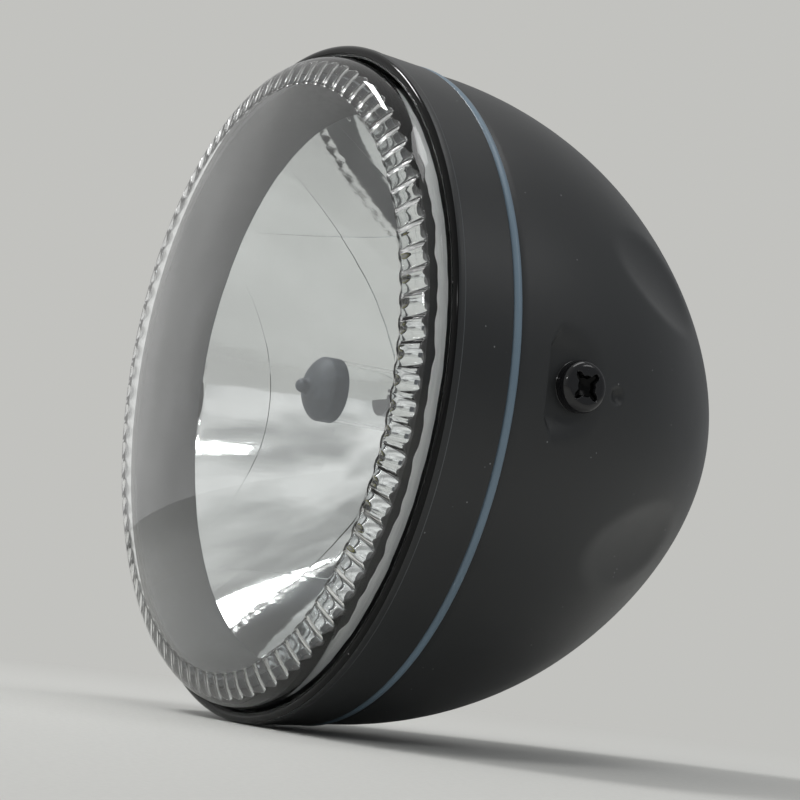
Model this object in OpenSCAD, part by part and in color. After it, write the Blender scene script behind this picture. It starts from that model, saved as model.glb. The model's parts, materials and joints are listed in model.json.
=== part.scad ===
/* [Trim ring] */
// Outer diameter of the trim ring at its front lip
rim_d = 170; // [164:1:180]
// Length of the band from the front lip to the seam
rim_depth = 15; // [14:0.5:20]
// How much the band's radius drops from the lip to the seam
rim_taper = 0.9; // [0.4:0.1:1.2]
// Diameter of the rolled bead that forms the front lip
bead_d = 3; // [2.4:0.1:3.4]
// Thickness of the pressed steel sheet
sheet = 1.2; // [0.8:0.1:1.4]

/* [Seam] */
// Width of the coloured seam ring that shows between ring and bucket
seam_w = 2.8; // [2:0.1:4]
// How far the seam ring stands proud of the bucket
seam_proud = 0.8; // [0.3:0.1:1.2]

/* [Bucket] */
// How much smaller the bucket's radius is than the rim's
bowl_inset = 1.7; // [1.4:0.1:2]
// Radius of the arc that forms the belly of the bucket
belly_r = 104; // [98:1:112]
// Angle through which the belly arc turns
belly_turn = 34; // [31:1:36]
// Radius of the flatter arc between belly and nose
flank_r = 133; // [125:1:145]
// Radius of the bucket where the rounded nose begins
nose_edge_r = 20.3; // [18:0.5:24]
// Distance from the front lip back to the side screws
pivot_back = 35.4; // [33:0.2:38]
// Diameter of the four pressed dimples round the back
dimple_d = 34; // [26:1:36]
// Depth of the pressed dimples
dimple_depth = 2.2; // [1:0.1:3]
// Distance from the front lip back to the middle of the dimples
dimple_back = 65; // [60:1:68]
// Angle of each dimple above or below the side screws
dimple_angle = 33.5; // [28:0.5:38]

/* [Side seats] */
// How far the flat side seats lie inside the rim's radius
seat_inset = 4.5; // [4:0.1:5]
// Distance from the side screw forward to the straight front edge of its seat
seat_front = 9.2; // [8:0.1:10]
// Height of the flat side seat
seat_h = 18; // [14:0.5:20]
// Diameter of the side screw's thread
screw_d = 6; // [5:0.5:6]
// Diameter of the side screw's pan head
screw_head_d = 12; // [11:0.5:13]
// Height of the side screw's pan head
screw_head_h = 3.9; // [3.5:0.1:5]
// Length of the side screw under its head
screw_len = 14; // [10:1:20]
// Distance from the side screw back to the small locating pip
pip_back = 12.2; // [11:0.2:16]
// Diameter of the locating pip
pip_d = 5; // [4:0.2:6]

/* [Lens] */
// How far the middle of the lens stands in front of the lip
lens_rise = 16.8; // [15:0.2:20]
// Radius of the lens dome
dome_r = 350; // [300:10:450]
// Radius of the rounded outer edge of the lens
corner_r = 7; // [5.5:0.5:7.5]
// Thickness of the lens dome
lens_t = 2.2; // [2:0.1:2.8]
// Number of flutes in the ring moulded round the lens
flutes = 88; // [72:1:90]
// Height of each flute above the glass between flutes
flute_h = 1.1; // [0.7:0.1:1.2]
// Radius of each flute's rounded back
flute_r = 3.4; // [3:0.1:3.4]

/* [Reflector] */
// Focal length of the reflector
focal = 22.4; // [21:0.1:24]
// Radial width of the collar between the lens wall and the mirror
collar_w = 8.3; // [7.5:0.1:10]
// Distance from the front lip back to the mirror's front edge
mirror_front = 11.5; // [10:0.1:13]
// Width of the vertical mirror facets
facet_w = 13; // [11:0.5:16]
// Share by which the focal length differs between neighbouring facets
facet_relief = 0.014; // [0.006:0.002:0.02]
// Height above and below the axis where the facets change over
facet_row = 46; // [40:1:52]
// Thickness of the reflector's wall
mirror_t = 1.6; // [1.2:0.1:2.2]

/* [Bulb] */
// Distance from the bulb's seating plane to the tip of the glass
bulb_len = 60; // [56:0.5:61]
// Diameter of the bulb's glass
bulb_d = 16.4; // [15:0.2:17]
// Length of the grey coating from the front of the glass dome
coat_len = 7.6; // [5:0.1:9]
// Diameter of the bulb's seating flange
flange_d = 43; // [41:0.5:44]
// Width of each of the bulb's blade contacts
blade_w = 7.9; // [6:0.1:8.2]

/* [Cable entry] */
// Diameter of the grommet's cable bore
cable_d = 11; // [8:0.5:12]
// Diameter of the hole in the bucket for the grommet
gland_d = 20; // [18:0.5:22]

/* [Hidden] */

// Smoothness of turned parts, of large arcs and of small round parts
turn_fn = 144;
arc_fn = 720;
small_fn = 48;
// Overlap that keeps cuts clean, and the usual gaps between parts
eps = 0.01;
gap = 0.1;
fit_gap = 0.3;
hole_gap = 0.2;
// A length beyond every part of the lamp
far = 200;

// Trim ring and seam, as radius and as distance behind the front lip
rim_r = rim_d / 2;
lip_y = -pivot_back;
bead_r = bead_d / 2;
bowl_r = rim_r - bowl_inset;
bowl_start = rim_depth + seam_w;
spigot_gap = 0.9;
spigot_r = rim_r - rim_taper - sheet - spigot_gap;
spigot_front = 10;
mouth_cut = 1;
seam_leg = 1;

// Arcs of the bucket: belly, flank and a nose centred on the axis; a draw line parts belly and flank
draw_line = 0.03;
belly_c = [bowl_r - belly_r, bowl_start];
flank_c = [belly_c[0] - (flank_r - belly_r) * cos(belly_turn) - draw_line,
    belly_c[1] - (flank_r - belly_r) * sin(belly_turn)];
flank_turn = acos((nose_edge_r - flank_c[0]) / flank_r);
nose_r = nose_edge_r / cos(flank_turn);
nose_s = flank_c[1] + (flank_r - nose_r) * sin(flank_turn);

// Side seats, their screws and nuts; the head is flat with a rounded shoulder, the pip stands pip_proud
seat_x = rim_r - seat_inset;
seat_corner = 5;
screw_shoulder = 2;
seat_gap = 0.02;
nut_flat = 10;
nut_h = 5;
pip_proud = 1.6;

// Cross recesses, as share of the head's diameter and as depth; wings and tapered core as share of the cross
recess_share = 0.66;
recess_depth = 2.4;
recess_over = 1;
wing_share = 0.25;
core_low = 0.1;
core_top = 0.34;
rim_recess_share = 0.4;
rim_recess_depth = 1.1;

// Clamp screw, its square nut and the hook opposite; band_in_r lies just inside the ring's band
rim_screw_s = 11.9;
rim_screw_r = 1.5;
rim_screw_head_r = 2.9;
rim_screw_len = 9;
rim_screw_sunk = 0.15;
rim_screw_top = rim_r - rim_taper * rim_screw_s / rim_depth - rim_screw_sunk;
rim_nut_w = 7;
rim_nut_d = 5.4;
rim_nut_h = 3.6;
thread_gap = 0.05;
band_in_r = rim_r - sheet - rim_taper * spigot_front / rim_depth - gap;
hook_t = 0.8;
hook_half = 5;
hook_turn = 3;
clip_t = 0.4;
clip_half = 7;
clip_reach = 4;

// Lens: skirt, foot, rounded edge and fluted cone, which starts sunk into the dome
skirt_gap = 0.4;
skirt_r = rim_r - bead_d - skirt_gap;
foot_gap = 1;
foot_t = 3.2;
foot_r = rim_r - sheet - foot_gap;
foot_front = bead_d + fit_gap;
foot_back = foot_front + foot_t;
dome_s = dome_r - lens_rise;
corner_c = [skirt_r - corner_r, dome_s - sqrt(pow(dome_r - corner_r, 2) - pow(skirt_r - corner_r, 2))];
dome_edge_r = corner_c[0] * dome_r / (dome_r - corner_r);
glass_wall = 3.4;
wall_r = skirt_r - glass_wall;
flute_slope = 28;
flute_run = 5;
flute_sink = 0.8;
flute_start_r = wall_r - flute_run;
dome_end_s = dome_s - sqrt(pow(dome_r - lens_t, 2) - pow(flute_start_r, 2));
flute_start_s = dome_end_s - flute_sink;
flute_end_s = flute_start_s + flute_run * tan(flute_slope);
flute_step = 0.9;
flute_step_drop = 0.5;
flute_inset = 0.2;
flute_over = 1.5;

// Seal and reflector
seal_t = 1.9;
seal_flange = 0.8;
seal_edge = 1;
mirror_r = wall_r - collar_w;
vertex_s = mirror_front + mirror_r * mirror_r / (4 * focal);
collar_front_r = wall_r - gap - seal_t - gap - mirror_t;
collar_gap = 1.6;
collar_front_s = flute_end_s + collar_gap;
collar_t = 1;
flange_s = foot_back + gap + seal_flange;
flange_t = 1.5;
flange_inset = 1.6;
flange_r = foot_r - flange_inset;
hole_r = 20.5;
neck_r = 28;
neck_len = 14;
parabola_steps = 9;
last_facet = ceil(mirror_r / facet_w - 0.5);

// Bulb: ref_s is the plane that its flange seats on
ref_s = vertex_s;
seat_t = 1.4;
seat_bore_r = 17.3;
seat_edge = 0.5;
ear_w = 4.8;
ear_t = 2;
ear_over = 1;
neck_s = ref_s - seat_t;
bulb_r = bulb_d / 2;
coat_t = 0.25;
glass_r = bulb_r - coat_t - gap / 2;
glass_t = 0.85;
tip_dome_r = 10.2;
nipple_len = 3;
nipple_r = 2;
nipple_sink = 0.5;
coat_over = 1;
tip_s = ref_s - bulb_len + nipple_len;
flange_r_b = flange_d / 2;
bulb_flange_t = 1.2;
can_r = 15;
can_len = 13;
can_wall = 1.2;
sleeve_gap = 0.15;
sleeve_r = 11;
sleeve_len = 7;
notch_w = 6;
notch_depth = 2;
insulator_out = 1;
blade_t = 0.8;
blade_len = 18;
blade_out = 10;
blade_spread = 7;
blade_drop = 1.5;
stem_r = glass_r - glass_t - gap;
stem_len = 12;
lead_r = 0.45;
coil_r = 0.7;
coil_len = 5.5;
coil_lift = 0.9;
front_coil_s = 22;
rear_coil_s = 14;
shield_r = 4.2;
shield_t = 0.4;
shield_front_s = 24;
shield_back_s = 14.5;
wire_r = 0.7;
clip_x = 17.5;
clip_ears = [[-clip_x, -18.6], [clip_x, -18.6]];
rivet_angles = [20, 160, 200, 340];
rivet_ring_r = 24.8;
rivet_r = 1.2;
rivet_len = 4;
rivet_head_r = 2;
rivet_head_h = 0.9;
wire_gap = 0.05;
clip_s = ref_s + bulb_flange_t + wire_r + wire_gap;
leg_up = 8;
leg_down = 21;

// Rubber boot and cable grommet
boot_t = 2.2;
boot_tail_t = 1.6;
boot_lip = 5;
boot_cone = 3;
boot_grip = 1;
boot_short = 0.5;
boot_back = 1.5;
grommet_flange = 3.2;
grommet_in = 4.6;
grommet_out = 1.2;
grommet_lip = 0.6;
grommet_lift = 0.2;

// Puts things drawn round the Z axis, with Z as distance behind the lip, onto the lamp's axis
module lamp() {
    translate([0, lip_y, 0])
        rotate([-90, 0, 0])
            children();
}

// A turned part: the section has X as radius and Y as distance behind the lip
module turned(fn = turn_fn) {
    lamp()
        rotate_extrude($fn = fn)
            children();
}

// A band of the section between two radii and two distances
module band(r0, r1, s0, s1) {
    translate([r0, s0])
        square([r1 - r0, s1 - s0]);
}

// Things placed round the lamp at an angle above the +X side
module at_angle(a) {
    rotate([0, -a, 0])
        children();
}

// The bucket's section, filled to the axis and pulled in by w
module bowl_section(w) {
    split_ab = belly_c[1] + (belly_r - w) * sin(belly_turn);
    split_bc = flank_c[1] + (flank_r - w) * sin(flank_turn);
    intersection() {
        translate(belly_c)
            circle(belly_r - w, $fn = arc_fn);
        band(0, far, bowl_start, split_ab);
    }
    intersection() {
        translate(flank_c)
            circle(flank_r - w, $fn = arc_fn);
        band(0, far, split_ab, split_bc);
    }
    intersection() {
        translate([0, nose_s])
            circle(nose_r - w, $fn = arc_fn);
        band(0, far, split_bc, far);
    }
}

// The filled bucket with its dimples and side seats pressed in, pulled in by w
module pressed_bowl(w) {
    slope = asin((dimple_back - belly_c[1]) / belly_r);
    dimple_r = (dimple_d * dimple_d / 4 + dimple_depth * dimple_depth) / (2 * dimple_depth);
    lift = belly_r + dimple_r - dimple_depth;
    difference() {
        turned()
            bowl_section(w);
        for (side = [0, 180], a = [-dimple_angle, dimple_angle])
            at_angle(side + a)
                translate([belly_c[0] + lift * cos(slope), lip_y + belly_c[1] + lift * sin(slope), 0])
                    sphere(dimple_r + w, $fn = turn_fn);
        for (side = [0, 180])
            at_angle(side)
                translate([seat_x - w, 0, 0])
                    rotate([0, 90, 0])
                        linear_extrude(far)
                            seat_outline(w);
    }
}

// Outline of the side seat: straight in front, with rounded corners, X up and Y back
module seat_outline(w) {
    h = seat_h / 2 + w;
    c = seat_corner + w;
    for (v = [-1, 1])
        translate([v * (h - c), c - seat_front - w])
            circle(c, $fn = small_fn);
    translate([-(h - c), -seat_front - w])
        square([2 * (h - c), c]);
    translate([-h, c - seat_front - w])
        square([2 * h, far]);
}

module bucket() {
    color([0.13, 0.14, 0.14])
        difference() {
            union() {
                pressed_bowl(0);
                turned()
                    band(spigot_r - sheet, spigot_r, spigot_front, bowl_start + eps);
                for (side = [0, 180])
                    at_angle(side)
                        translate([pip_x(), pip_back, 0])
                            sphere(pip_d / 2, $fn = small_fn);
            }
            difference() {
                pressed_bowl(sheet);
                turned()
                    band(0, far, 0, bowl_start + sheet);
            }
            turned()
                band(0, spigot_r - sheet, spigot_front - mouth_cut, bowl_start + sheet + eps);
            for (side = [0, 180])
                at_angle(side) {
                    translate([seat_x - screw_len / 2, 0, 0])
                        rotate([0, 90, 0])
                            cylinder(r = screw_d / 2 + hole_gap, h = screw_len, $fn = small_fn);
                    translate([pip_x(), pip_back, 0])
                        sphere(pip_d / 2 - sheet, $fn = small_fn);
                }
            turned()
                band(0, gland_d / 2, nose_s, far);
            rim_screw_axis()
                translate([0, 0, spigot_r - rim_screw_len / 2])
                    cylinder(r = rim_screw_r + hole_gap, h = rim_screw_len, $fn = small_fn);
        }
}

// Distance from the axis to the middle of the pip's ball
function pip_x() = belly_c[0] + sqrt(pow(belly_r, 2) - pow(pip_back + pivot_back - belly_c[1], 2))
    - pip_d / 2 + pip_proud;

module seam_ring() {
    outer = bowl_r + seam_proud;
    round_r = seam_w / 2 - gap / 2;
    color([0.36, 0.44, 0.55])
        turned() {
            intersection() {
                translate([outer - round_r, rim_depth + seam_w / 2])
                    circle(round_r, $fn = small_fn);
                band(outer - round_r - eps, outer, rim_depth, bowl_start);
            }
            band(spigot_r + fit_gap, outer - round_r, rim_depth + gap / 2, bowl_start - gap / 2);
            band(spigot_r + fit_gap, spigot_r + 2 * fit_gap, rim_depth - seam_leg, rim_depth + gap);
        }
}

module trim_ring() {
    color([0.12, 0.13, 0.13])
        difference() {
            turned() {
                translate([rim_r - bead_r, bead_r])
                    circle(bead_r, $fn = small_fn);
                polygon([[rim_r, bead_r], [rim_r - rim_taper, rim_depth],
                    [rim_r - rim_taper - sheet, rim_depth], [rim_r - sheet, bead_r]]);
            }
            rim_screw_cone(gap, sheet);
        }
}

// The clamp screw stands radially at the bottom, its head outward
module rim_screw_axis() {
    translate([0, lip_y + rim_screw_s, 0])
        rotate([180, 0, 0])
            children();
}

// Countersunk head of the clamp screw, grown by g all round and lengthened outward
module rim_screw_cone(g, longer) {
    cone_h = rim_screw_head_r - rim_screw_r;
    rim_screw_axis()
        translate([0, 0, rim_screw_top - cone_h])
            cylinder(r1 = rim_screw_r + g, r2 = rim_screw_head_r + g + longer, h = cone_h + longer,
                $fn = small_fn);
}

module rim_screw() {
    cone_h = rim_screw_head_r - rim_screw_r;
    color([0.10, 0.10, 0.11])
        difference() {
            union() {
                rim_screw_cone(0, 0);
                rim_screw_axis()
                    translate([0, 0, rim_screw_top - rim_screw_len])
                        cylinder(r = rim_screw_r, h = rim_screw_len - cone_h + eps, $fn = small_fn);
            }
            rim_screw_axis()
                cross_recess(rim_screw_top, 2 * rim_screw_head_r * rim_recess_share, rim_recess_depth);
        }
}

// A cross recess sunk below the height z
module cross_recess(z, size, depth) {
    wing = size * wing_share;
    for (a = [45, 135])
        rotate(a)
            translate([-size / 2, -wing / 2, z - depth])
                cube([size, wing, depth + recess_over]);
    translate([0, 0, z - depth])
        cylinder(r1 = size * core_low, r2 = size * core_top, h = depth + recess_over, $fn = small_fn);
}

// Nut block held inside the bucket's rim, under the clamp screw
module rim_nut() {
    color([0.70, 0.70, 0.66])
        rim_screw_axis()
            difference() {
                translate([-rim_nut_w / 2, -rim_nut_d / 2, spigot_r - sheet - fit_gap - rim_nut_h])
                    cube([rim_nut_w, rim_nut_d, rim_nut_h]);
                cylinder(r = rim_screw_r + thread_gap, h = far, $fn = small_fn);
            }
}

// Hook at the top of the trim ring, over the bucket's front edge
module rim_hook() {
    back = spigot_front - fit_gap / 2;
    inner = spigot_r - sheet - fit_gap;
    color([0.12, 0.13, 0.13])
        at_angle(90)
            intersection() {
                turned() {
                    band(inner - hook_t, band_in_r, back - hook_t, back);
                    band(inner - hook_t, inner, back - hook_t, spigot_front + hook_turn);
                    band(band_in_r - hook_t / 2, band_in_r, back - hook_turn, back);
                }
                wedge(hook_half);
            }
}

// A wedge opening along +X by an angle to each side
module wedge(half) {
    rotate([90, 0, 0])
        linear_extrude(far, center = true)
            polygon([[0, 0], [far, -far * tan(half)], [far, far * tan(half)]]);
}

// Outside of the lens, filled to the axis
module lens_section() {
    intersection() {
        translate([0, dome_s])
            circle(dome_r, $fn = 4 * arc_fn);
        band(0, dome_edge_r, -far, corner_c[1]);
    }
    translate(corner_c)
        circle(corner_r, $fn = turn_fn);
    band(0, skirt_r, corner_c[1], foot_back);
    band(0, foot_r, foot_front, foot_back);
}

// Hollow of the lens, before the flutes stand into it
module lens_hollow() {
    intersection() {
        translate([0, dome_s])
            circle(dome_r - lens_t, $fn = 4 * arc_fn);
        band(0, flute_start_r, -lens_rise, dome_end_s);
    }
    polygon([[0, dome_end_s - eps], [flute_start_r - eps, dome_end_s - eps],
        [flute_start_r - eps, flute_start_s], [flute_start_r, flute_start_s],
        [wall_r, flute_end_s], [wall_r, far], [0, far]]);
}

// One flute: a round bar lying along the cone, with a lower step at its inner end
module flute() {
    back = flute_r - flute_h;
    translate([flute_start_r + back * sin(flute_slope), 0, flute_start_s - back * cos(flute_slope)])
        rotate([0, 90 - flute_slope, 0]) {
            translate([0, 0, flute_step])
                cylinder(r = flute_r, h = flute_run / cos(flute_slope) + flute_over, $fn = small_fn);
            translate([0, 0, flute_inset])
                cylinder(r = flute_r - flute_step_drop, h = flute_step, $fn = small_fn);
        }
}

module lens_glass() {
    color([0.85, 0.90, 0.92, 0.4])
        difference() {
            turned()
                lens_section();
            difference() {
                turned()
                    lens_hollow();
                lamp()
                    for (i = [0 : flutes - 1])
                        rotate(i * 360 / flutes)
                            flute();
            }
        }
}

module lens_seal() {
    inner = wall_r - gap - seal_t;
    color([0.05, 0.05, 0.05])
        turned() {
            band(inner, wall_r - gap, collar_front_s, foot_back + gap + seal_flange);
            band(inner, foot_r - seal_edge, foot_back + gap, foot_back + gap + seal_flange);
        }
}

// Points along the mirror's curve, at a distance w behind it, for one focal length
function mirror_curve(f, w) = [for (i = [0 : parabola_steps])
    let (r = mirror_r * (1 - i / parabola_steps),
        n = sqrt(1 + pow(r / (2 * f), 2)),
        s = mirror_front + (mirror_r * mirror_r - r * r) / (4 * f))
    [r + w * r / (2 * f) / n, s + w / n]];

// Space in front of the mirror for one focal length
module mirror_space(f) {
    turned()
        polygon(concat([[0, mirror_front - eps], [mirror_r, mirror_front - eps]], mirror_curve(f, 0)));
}

// Slab of the mirror that one vertical facet covers, in the middle row or outside it
module facet_slab(i, middle) {
    for (v = middle ? [0] : [-1, 1])
        translate([(i - 0.5) * facet_w, -far, middle ? -facet_row : (v > 0 ? facet_row : -facet_row - far)])
            cube([facet_w, 2 * far, middle ? 2 * facet_row : far]);
}

module reflector() {
    color([0.88, 0.89, 0.90])
        difference() {
            turned() {
                polygon(concat([[0, mirror_front], [mirror_r + mirror_t, mirror_front]],
                    mirror_curve(focal, mirror_t)));
                polygon([[0, collar_front_s], [collar_front_r + mirror_t, collar_front_s],
                    [collar_front_r + mirror_t, flange_s], [mirror_r + mirror_t, mirror_front + collar_t],
                    [0, mirror_front + collar_t]]);
                band(0, flange_r, flange_s, flange_s + flange_t);
                band(0, neck_r, neck_s - neck_len, neck_s);
            }
            turned()
                polygon([[0, collar_front_s - eps], [collar_front_r, collar_front_s - eps],
                    [collar_front_r, collar_front_s], [mirror_r, mirror_front], [0, mirror_front]]);
            for (middle = [0, 1], i = [-last_facet : last_facet])
                intersection() {
                    mirror_space(focal * (1 + facet_relief * (abs(i) % 2 + middle)));
                    facet_slab(i, middle == 1);
                }
            turned()
                band(0, hole_r, neck_s - neck_len, far);
            rivet_shanks(rivet_r + thread_gap, rivet_len);
        }
}

// Spring clips between trim ring and reflector flange
module insert_clips() {
    front = flange_s + flange_t + gap / 2;
    color([0.62, 0.63, 0.64])
        for (a = [45, 135, 225, 315])
            at_angle(a)
                intersection() {
                    turned() {
                        band(flange_r - clip_reach, band_in_r, front, front + clip_t);
                        band(band_in_r - clip_t, band_in_r, flange_s, front + clip_t);
                    }
                    wedge(clip_half);
                }
}

// Stamped ring on the reflector's neck, with ears that hold the bulb's spring clip
module bulb_seat() {
    color([0.72, 0.71, 0.38])
        difference() {
            union() {
                turned()
                    band(seat_bore_r, neck_r - seat_edge, neck_s, ref_s);
                for (v = clip_ears)
                    translate([v[0] - ear_w / 2, lip_y + ref_s - eps, v[1] - ear_t / 2])
                        cube([ear_w, clip_s - ref_s + wire_r + ear_over, ear_t]);
            }
            bulb_clip_legs(wire_r + gap, leg_down + ear_t);
            rivet_shanks(rivet_r + thread_gap, rivet_len);
        }
}

// Shanks of the rivets round the bulb seat, as bars of radius r that reach len in front of it
module rivet_shanks(r, len) {
    for (a = rivet_angles)
        at_angle(a)
            translate([rivet_ring_r, lip_y + ref_s - len, 0])
                rotate([-90, 0, 0])
                    cylinder(r = r, h = len + eps, $fn = small_fn);
}

module seat_rivets() {
    color([0.70, 0.70, 0.68]) {
        rivet_shanks(rivet_r, rivet_len - gap);
        for (a = rivet_angles)
            at_angle(a)
                translate([rivet_ring_r, lip_y + ref_s, 0])
                    rotate([-90, 0, 0])
                        cylinder(r = rivet_head_r, h = rivet_head_h, $fn = small_fn);
    }
}

// Two straight legs of the wire clip, as round bars of radius r
module bulb_clip_legs(r, reach) {
    for (x = [-clip_x, clip_x])
        translate([x, lip_y + clip_s, -reach])
            cylinder(r = r, h = reach + leg_up, $fn = small_fn);
}

module bulb_clip() {
    color([0.66, 0.66, 0.67]) {
        bulb_clip_legs(wire_r, leg_down);
        translate([0, lip_y + clip_s, leg_up])
            rotate([90, 0, 0])
                rotate_extrude(angle = 180, $fn = turn_fn)
                    translate([clip_x, 0])
                        circle(wire_r, $fn = small_fn);
    }
}

module bulb_glass() {
    color([0.85, 0.88, 0.90, 0.4])
        turned() {
            difference() {
                bulb_section(glass_r, tip_dome_r);
                bulb_section(glass_r - glass_t, tip_dome_r - glass_t);
            }
            nipple(nipple_r - coat_t - gap / 2, nipple_sink);
        }
}

// Filled section of the bulb: a tube that ends in a shallow dome
module bulb_section(r, dome) {
    tail = ref_s + bulb_flange_t - gap;
    intersection() {
        translate([0, tip_s + tip_dome_r])
            circle(dome, $fn = arc_fn);
        band(0, r, tip_s, tip_s + tip_dome_r);
    }
    band(0, r, tip_s + tip_dome_r - eps, tail);
}

// Filled section of the sealed nipple on the bulb's dome, sunk into the dome
module nipple(r, sunk) {
    middle = tip_s - nipple_len + nipple_r;
    intersection() {
        translate([0, middle])
            circle(r, $fn = small_fn);
        band(0, r, tip_s - nipple_len, middle);
    }
    band(0, r, middle - eps, tip_s + sunk);
}

// Grey coating over the tip of the bulb
module bulb_tip_coat() {
    under = tip_dome_r + gap / 2;
    color([0.42, 0.44, 0.47])
        turned()
            difference() {
                union() {
                    intersection() {
                        translate([0, tip_s + tip_dome_r])
                            circle(under + coat_t, $fn = arc_fn);
                        band(0, bulb_r, tip_s - coat_over, tip_s + tip_dome_r);
                    }
                    nipple(nipple_r, 1);
                }
                intersection() {
                    translate([0, tip_s + tip_dome_r])
                        circle(under, $fn = arc_fn);
                    band(0, glass_r + gap / 2, tip_s - coat_over, far);
                }
                nipple(nipple_r - coat_t, 2);
                band(0, far, tip_s + coat_len, far);
            }
}

module bulb_base() {
    color([0.66, 0.65, 0.60])
        difference() {
            turned() {
                band(glass_r + sleeve_gap, sleeve_r, ref_s - sleeve_len, ref_s + eps);
                band(glass_r + sleeve_gap, flange_r_b, ref_s, ref_s + bulb_flange_t);
                band(can_r - can_wall, can_r, ref_s + bulb_flange_t - eps, ref_s + can_len);
            }
            for (a = [90, 210, 330])
                at_angle(a)
                    translate([flange_r_b - notch_depth, lip_y + ref_s - eps, -notch_w / 2])
                        cube([2 * notch_depth, bulb_flange_t + 2 * eps, notch_w]);
        }
}

module bulb_insulator() {
    color([0.10, 0.10, 0.10])
        difference() {
            turned()
                band(0, can_r - can_wall - gap, ref_s + bulb_flange_t, ref_s + can_len + insulator_out);
            blades(thread_gap);
        }
}

// The bulb's three flat contacts, grown by g all round
module blades(g) {
    tail = ref_s + can_len + insulator_out + blade_out;
    for (v = [[0, blade_spread, 0], [-blade_spread, -blade_drop, 90], [blade_spread, -blade_drop, 90]])
        translate([v[0], lip_y + tail - blade_len - g, v[1]])
            rotate([0, v[2], 0])
                translate([-blade_w / 2 - g, 0, -blade_t / 2 - g])
                    cube([blade_w + 2 * g, blade_len + 2 * g, blade_t + 2 * g]);
}

module bulb_contacts() {
    color([0.75, 0.74, 0.70])
        blades(0);
}

// Glass foot that carries the bulb's lead wires
module bulb_stem() {
    color([0.80, 0.83, 0.82])
        turned()
            band(0, stem_r, ref_s - stem_len, ref_s + bulb_flange_t - gap);
}

// Lead wires: each is given by its place across the bulb and its length in front of the stem
lead_wires = [[-4.7, 0, 19], [0, 2.6, 22], [0, -2.2, 13]];
module bulb_leads() {
    color([0.60, 0.60, 0.60])
        lamp()
            for (v = lead_wires)
                translate([v[0], -v[1], ref_s - stem_len - v[2]])
                    cylinder(r = lead_r, h = v[2], $fn = small_fn);
}

module bulb_filaments() {
    color([0.55, 0.55, 0.57])
        lamp() {
            translate([0, -coil_lift, ref_s - stem_len - front_coil_s])
                cylinder(r = coil_r, h = coil_len, $fn = small_fn);
            translate([0, coil_lift, ref_s - stem_len - rear_coil_s])
                cylinder(r = coil_r, h = coil_len, $fn = small_fn);
        }
}

// Metal trough under the front filament
module bulb_shield() {
    color([0.70, 0.70, 0.70])
        difference() {
            turned()
                difference() {
                    band(0, shield_r, ref_s - stem_len - shield_front_s, ref_s - stem_len - shield_back_s);
                    band(0, shield_r - shield_t, ref_s - stem_len - shield_front_s + shield_t, ref_s);
                }
            translate([-far / 2, -far, 0])
                cube([far, 2 * far, far]);
        }
}

// Rubber boot from the reflector's neck to the bulb's base
module rubber_boot() {
    cone_s = clip_s + boot_cone;
    tail_s = ref_s + can_len - boot_short;
    lip_r = neck_r + gap;
    color([0.07, 0.07, 0.07])
        turned()
            polygon([[lip_r, neck_s - boot_lip], [lip_r + boot_t, neck_s - boot_lip],
                [lip_r + boot_t, cone_s + boot_grip], [can_r + gap + boot_tail_t, tail_s + boot_grip],
                [can_r + gap, tail_s + boot_grip], [can_r + gap, tail_s - boot_back], [lip_r, cone_s]]);
}

// Section of the side screw: X is the radius, Y the height above the seat
module side_screw_section() {
    head_r = screw_head_d / 2;
    shoulder_r = head_r - screw_shoulder;
    shoulder_z = screw_head_h - screw_shoulder;
    translate([shoulder_r, shoulder_z])
        intersection() {
            circle(screw_shoulder, $fn = turn_fn);
            square(screw_shoulder);
        }
    square([head_r, shoulder_z]);
    square([shoulder_r, screw_head_h]);
    translate([0, -screw_len])
        square([screw_d / 2, screw_len + eps]);
}

module side_screws() {
    color([0.06, 0.06, 0.06])
        for (side = [0, 180])
            at_angle(side)
                translate([seat_x + seat_gap, 0, 0])
                    rotate([0, 90, 0])
                        difference() {
                            rotate_extrude($fn = turn_fn)
                                side_screw_section();
                            cross_recess(screw_head_h, screw_head_d * recess_share, recess_depth);
                        }
}

module side_nuts() {
    color([0.68, 0.68, 0.66])
        for (side = [0, 180])
            at_angle(side)
                translate([seat_x - sheet - seat_gap, 0, 0])
                    rotate([0, -90, 0])
                        difference() {
                            cylinder(r = nut_flat / 2 / cos(30), h = nut_h, $fn = 6);
                            translate([0, 0, -eps])
                                cylinder(r = screw_d / 2 + thread_gap, h = nut_h + 2 * eps, $fn = small_fn);
                        }
}

// Rubber grommet in the hole at the bucket's nose; the bucket's wall is cut out of it
module cable_grommet() {
    hole_r = gland_d / 2 - gap;
    nose_end = nose_s + nose_r;
    color([0.07, 0.07, 0.07])
        turned()
            difference() {
                union() {
                    band(cable_d / 2, hole_r + grommet_flange, nose_end - grommet_in,
                        nose_end + grommet_out);
                    translate([hole_r + grommet_flange / 2, nose_end + grommet_lift])
                        circle(grommet_flange / 2, $fn = small_fn);
                    band(cable_d / 2, hole_r + grommet_flange / 2, nose_end,
                        nose_end + grommet_out + grommet_lip);
                }
                difference() {
                    translate([0, nose_s])
                        circle(nose_r + gap, $fn = arc_fn);
                    translate([0, nose_s])
                        circle(nose_r - sheet - gap, $fn = arc_fn);
                    band(0, hole_r, 0, far);
                }
                band(hole_r + grommet_flange, far, 0, far);
            }
}

bucket();
seam_ring();
trim_ring();
rim_hook();
rim_screw();
rim_nut();
lens_glass();
lens_seal();
reflector();
insert_clips();
bulb_seat();
seat_rivets();
bulb_clip();
bulb_glass();
bulb_tip_coat();
bulb_base();
bulb_insulator();
bulb_contacts();
bulb_stem();
bulb_leads();
bulb_filaments();
bulb_shield();
rubber_boot();
side_screws();
side_nuts();
cable_grommet();
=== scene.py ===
import json
import math

import bmesh
import bpy
import numpy as np
from bpy.props import FloatProperty, FloatVectorProperty, IntProperty, PointerProperty
from mathutils import Matrix, Vector


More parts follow.
